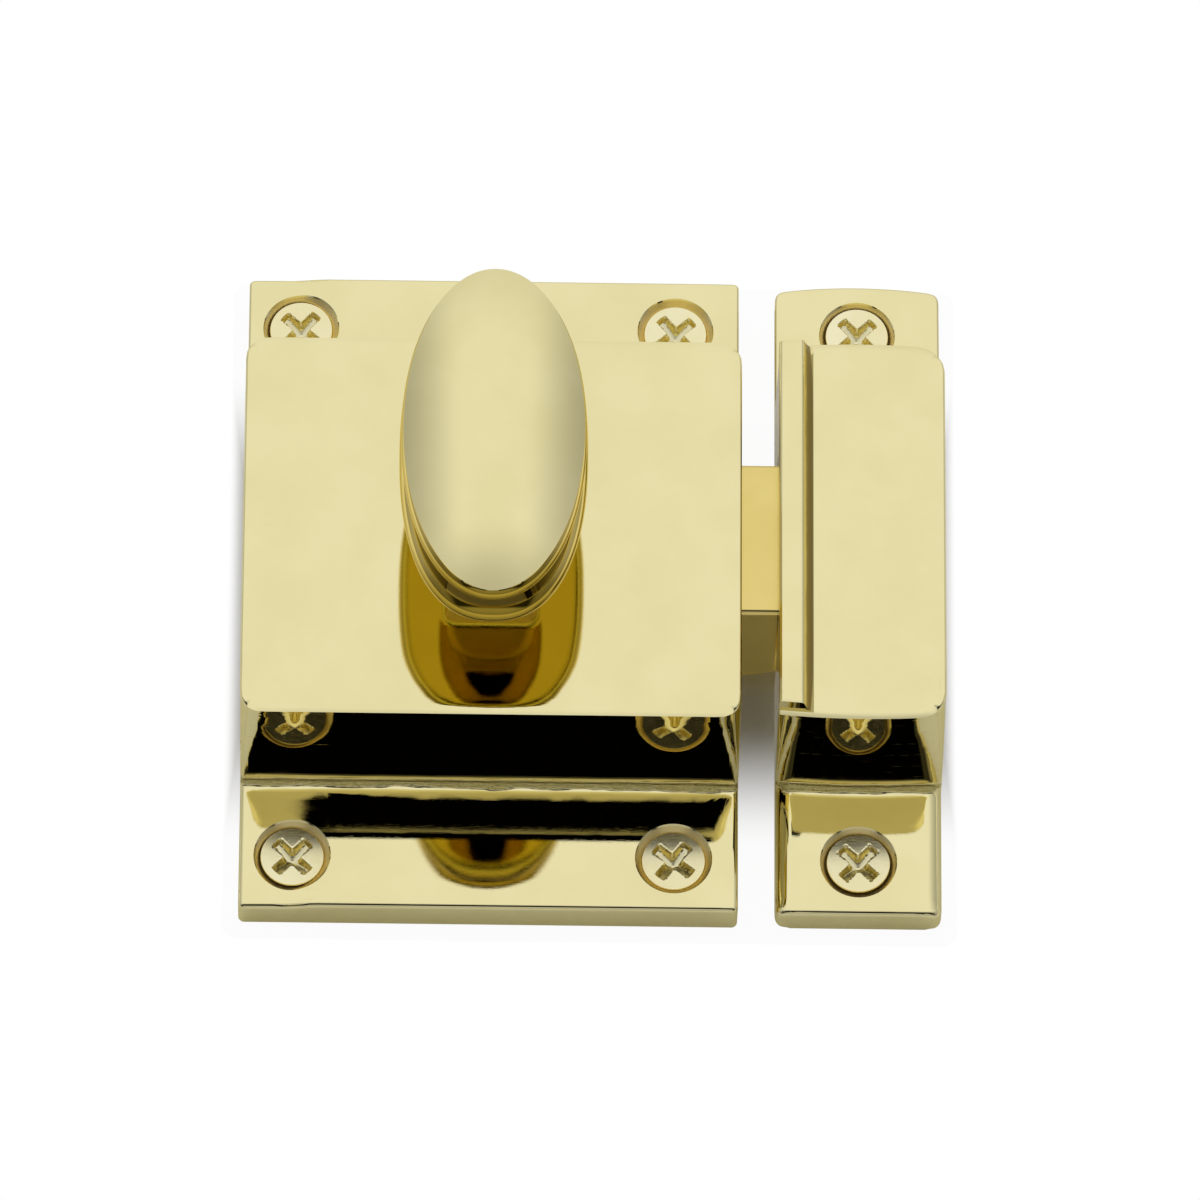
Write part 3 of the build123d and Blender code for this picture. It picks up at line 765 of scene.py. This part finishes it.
# %% Case and strike
case_form = form_of(
    case_low,
    case_high,
    arch=0.0,
    lean=lambda x: 0.4 * share_between(-x, 15.2, 18.4),
    lip_end=-math.inf,
    left_round=1.7,
    right_round=1.7,
    end_corner=0.0,
    brink_fall=0.08,
)
strike_form = form_of(
    strike_low,
    strike_high,
    arch=0.018,
    lean=lambda x: 0.45,
    lip_end=strike_low.x / mm + 3.15,
    left_round=1.3,
    right_round=2.1,
    end_corner=1.5,
    brink_fall=0.12,
)
case_places = (side_places(case_low, case_high, cell), deep_places, tall_places)
strike_places = (side_places(strike_low, strike_high, strike_cell), deep_places, tall_places)
casting("case", "case_casting", case_places, case_form)
casting("strike", "strike_casting", strike_places, strike_form)

# %% [markdown]
# ## The knob
#
# The knob is one casting: a domed oval head with two rims, on a square tapered neck that stands on a
# short round collar. Its dome is the part that the eye rests on, and it mirrors the whole tent, so flat
# facets would show. We could put a subdivision surface over a coarse cage, but it would shrink the oval
# and round the crease off. Instead the surface is made of ovals stacked along the knob's axis, each one
# a formula, so the mesh can be as fine as the mirror needs.

# %% Oval rings
ring_points = 192


def oval(half_width, half_height, depth, squareness=2.0):
    points = []
    for step in range(ring_points):
        angle = 2 * math.pi * step / ring_points
        across, along = math.cos(angle), math.sin(angle)
        x = math.copysign(abs(across) ** (2 / squareness), across) * half_width
        z = math.copysign(abs(along) ** (2 / squareness), along) * half_height
        points.append((x, -depth, z))
    return points


def stacked(name, rings, material, body, replaced):
    """A closed mesh through rings of as many points each, with a flat cap at either end."""
    count = len(rings[0])
    points = [point for ring in rings for point in ring]
    faces = []
    for level in range(len(rings) - 1):
        for step in range(count):
            after = (step + 1) % count
            low, high = level * count, (level + 1) * count
            faces.append((low + step, high + step, high + after, low + after))
    last = (len(rings) - 1) * count
    faces.append(tuple(range(count)))
    faces.append(tuple(last + step for step in reversed(range(count))))
    mesh = bpy.data.meshes.new(name)
    mesh.from_pydata([Vector(point) * mm for point in points], [], faces)
    mesh.materials.append(material)
    piece = new_object(name, mesh)
    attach(piece, body)
    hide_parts(replaced)
    print(name, len(mesh.polygons), "faces")
    return piece

# %% Knob dome
dome_half_width, dome_half_height, dome_rise, dome_land = 8.0, 16.0, 3.0, 0.15
dome_steps, smallest_ring = 24, 0.004
head_front = 34.8
dome_crown = dome_rise - dome_land
cross_radius = (dome_half_width**2 + dome_crown**2) / (2 * dome_crown)
long_radius = (dome_half_height**2 + dome_crown**2) / (2 * dome_crown)


def dome_ring(share):
    ring = []
    for x, _, z in oval(dome_half_width * share, dome_half_height * share, 0):
        fall = cross_radius - math.sqrt(cross_radius**2 - x * x)
        fall += long_radius - math.sqrt(long_radius**2 - z * z)
        ring.append((x, -(head_front + dome_rise - fall), z))
    return ring


dome_shares = [smallest_ring] + [step / dome_steps for step in range(1, dome_steps + 1)]
knob_rings = [dome_ring(share) for share in dome_shares]

# %% Knob rims
crease_depth = 0.05
front_bead, back_bead, groove = 2.2, 2.6, 1.4
front_proud, back_proud = 0.2, 0.35
front_squareness, back_squareness = 2.1, 2.35
groove_inset = 0.4
bead_steps = 12


def bead(front, thickness, proud, squareness):
    """Rings round a half-round rim, from the groove in front of it to the one behind."""
    radius = thickness / 2
    rings = []
    for step in range(bead_steps + 1):
        turn = math.pi * step / bead_steps
        out = proud - radius + radius * math.sin(turn)
        if out > -groove_inset:
            depth = front - radius + radius * math.cos(turn)
            rings.append(oval(dome_half_width + out, dome_half_height + out, depth, squareness))
    return rings


crease = head_front - crease_depth
back_bead_front = head_front - front_bead - groove
knob_rings.append(oval(dome_half_width, dome_half_height, crease))
knob_rings += bead(crease, front_bead - crease_depth, front_proud, front_squareness)
knob_rings += bead(back_bead_front, back_bead, back_proud, back_squareness)

# %% Knob neck
collar_depth = face_depth + 0.3
collar_front = collar_depth + 1.0
neck_head_half, neck_foot_half = 4.0, 3.2
neck_corner = 0.9
neck_fillet, fillet_steps, neck_steps = 0.6, 6, 10


def rounded_square(half, corner, depth):
    points = []
    for step in range(ring_points):
        angle = 2 * math.pi * step / ring_points
        across, along = abs(math.cos(angle)), abs(math.sin(angle))
        reach = half / max(across, along)
        x, z = across * reach, along * reach
        centre = half - corner
        if x > centre and z > centre:
            # the ray meets the corner's arc
            b = centre * (across + along)
            reach = b + math.sqrt(b * b - (2 * centre**2 - corner**2))
            x, z = across * reach, along * reach
        points.append((math.copysign(x, math.cos(angle)), -depth, math.copysign(z, math.sin(angle))))
    return points


underside = back_bead_front - back_bead
rim_edge = back_proud - back_bead / 2
knob_rings.append(
    oval(dome_half_width + rim_edge, dome_half_height + rim_edge, underside, back_squareness)
)
for step in range(fillet_steps + 1):
    turn = math.pi / 2 * step / fillet_steps
    out = neck_fillet * (1 - math.sin(turn))
    depth = underside - neck_fillet * (1 - math.cos(turn))
    knob_rings.append(rounded_square(neck_head_half + out, neck_corner + out, depth))
neck_head = underside - neck_fillet
for step in range(1, neck_steps + 1):
    share = step / neck_steps
    half = neck_head_half + (neck_foot_half - neck_head_half) * share
    knob_rings.append(rounded_square(half, neck_corner, neck_head + (collar_front - neck_head) * share))

# %% Knob collar and the whole knob
collar_radius, collar_round, round_middle = 4.7, 0.3, 0.1
thread_radius, thread_length = 2.2, 7.8
for depth, radius in (
    (collar_front, collar_radius - collar_round),
    (collar_front - round_middle, collar_radius - round_middle),
    (collar_front - collar_round, collar_radius),
    (collar_depth, collar_radius),
    (collar_depth, thread_radius),
    (collar_depth + thread_length, thread_radius),
):
    knob_rings.append(oval(radius, radius, depth))
knob = stacked("oval_knob", knob_rings, knob_brass, "knob_assembly", "knob")
smooth_shaded(knob.data, sharp_degrees=35)

# %% [markdown]
# ## The wood screws
#
# Six turned brass wood screws hold the latch. In the solids each is a plain cylinder with a point, and
# its cross is cut with flat walls. A real one has a rolled thread and a cross that was struck with a
# punch, so the walls of the cross are rounded over. Cutting a thread with booleans is slow and leaves
# bad faces. So the screw is stacked from rings as the knob was: the radius of each ring follows the
# turn of the thread, and the height of the head's rings follows the cross.

# %% Struck cross
arm_half_width, arm_reach, core_radius = 0.48, 2.05, 0.8
cross_depth, cross_slope = 1.4, 0.42
wall_top, wall_foot = -0.06, 0.2


def cross_fall(x, z, turn):
    """How far the head's surface lies below the head's top, inside the struck cross."""
    along = x * math.cos(turn) + z * math.sin(turn)
    across = z * math.cos(turn) - x * math.sin(turn)
    along, across = max(abs(along), abs(across)), min(abs(along), abs(across))
    from_middle = math.hypot(along, across)
    inside_arm = min(arm_half_width - across, arm_reach - along)
    wall = share_between(max(inside_arm, core_radius - from_middle), wall_top, wall_foot)
    return wall * (cross_depth - cross_slope * from_middle)

# %% Rolled thread
shank_radius, shank_end = 1.42, 4.6
screw_length, point_length = 12.7, 3.5
thread_core, thread_pitch, crest_half = 1.02, 1.06, 0.3
thread_start, past_tip, least_share = 1.0, 0.6, 0.02
screw_points = 96


def screw_ring(radius_at, down):
    ring = []
    for step in range(screw_points):
        angle = 2 * math.pi * step / screw_points
        radius = radius_at(angle)
        ring.append((radius * math.cos(angle), down, radius * math.sin(angle)))
    return ring


def thread_radius_at(down):
    """The radius at a distance below the head's top, as a function of the angle."""
    taper = share_between(down, screw_length + past_tip, screw_length - point_length)
    start = share_between(down, shank_end, shank_end + thread_start)

    def radius(angle):
        turn = (down / thread_pitch - angle / (2 * math.pi)) % 1.0
        crest = max(0.0, 1 - abs(turn - 0.5) / crest_half)
        proud = (shank_radius - thread_core) * max(crest, 1 - start)
        return (thread_core + proud) * max(taper, least_share)

    return radius

# %% Screws
screw_top = 3.333
head_radius, rim_top, rim_foot, cone_length = 2.85, 0.15, 0.2, 1.645
head_rings, rings_a_turn = 30, 10
edge_round, edge_drop = 0.06, 0.05


def wood_screw(node, turn):
    low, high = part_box(node)
    x, z = (low.x + high.x) / 2 / mm, (low.z + high.z) / 2 / mm
    rings = []
    for step in range(1, head_rings + 1):
        radius = (head_radius - edge_round) * step / head_rings
        drop = edge_drop * (radius / head_radius) ** 2
        ring = screw_ring(lambda angle: radius, 0.0)
        rings.append([(a, cross_fall(a, b, turn) + drop, b) for a, _, b in ring])
    for radius, down in (
        (head_radius, rim_top),
        (head_radius, rim_foot),
        (shank_radius, rim_foot + cone_length),
        (shank_radius, shank_end),
    ):
        rings.append(screw_ring(lambda angle: radius, down))
    thread_rings = round((screw_length - shank_end) / thread_pitch * rings_a_turn)
    for step in range(1, thread_rings + 1):
        down = shank_end + (screw_length - shank_end) * step / thread_rings
        rings.append(screw_ring(thread_radius_at(down), down))
    placed = [[(x + a, down - screw_top, z + b) for a, down, b in ring] for ring in rings]
    screw = stacked("threaded_" + node, placed, screw_brass, "fixed", node)
    smooth_shaded(screw.data, sharp_degrees=40)


for node, turn in (
    ("case_screw_top_left", 48),
    ("case_screw_top_right", 40),
    ("case_screw_bottom_left", 45),
    ("case_screw_bottom_right", 52),
    ("strike_screw_top", 43),
    ("strike_screw_bottom", 47),
):
    wood_screw(node, math.radians(turn))

# %% [markdown]
# ## The bolt spring
#
# A coil of hard wire stands between the bolt's tail and the left wall of the case and throws the bolt.
# As the knob draws the bolt back, the coil shortens towards the wall. The coil is swept as a round wire
# along a helix, with its end turns closed up as a spring maker winds them.

# %% Spring
wire_radius, coil_radius, coil_turns = 0.25, 1.95, 7
wire_points, points_a_turn = 12, 36
end_closing = 0.07
spring_low, spring_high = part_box("bolt_spring")
spring_middle = (spring_low + spring_high) / 2
run = (spring_high.x - spring_low.x) / mm - 2 * wire_radius
wire_rings = []
steps = coil_turns * points_a_turn
for step in range(steps + 1):
    share = step / steps
    eased = share - end_closing * math.sin(2 * math.pi * share)
    along = spring_low.x / mm + wire_radius + run * eased
    angle = 2 * math.pi * coil_turns * share
    ring = []
    for side in range(wire_points):
        around = 2 * math.pi * side / wire_points
        reach = coil_radius + wire_radius * math.cos(around)
        y = spring_middle.y / mm + reach * math.cos(angle)
        z = spring_middle.z / mm + reach * math.sin(angle)
        ring.append((along + wire_radius * math.sin(around), y, z))
    wire_rings.append(ring)
spring = stacked("coiled_spring", wire_rings, wire_steel, "fixed", "bolt_spring")
smooth_shaded(spring.data, sharp_degrees=50)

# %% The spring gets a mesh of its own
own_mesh(spring)

# %% [markdown]
# ## Look settings and the end
#
# The picture is shown with plain colour.

# %% Finish
bpy.context.scene.view_settings.view_transform = "Standard"
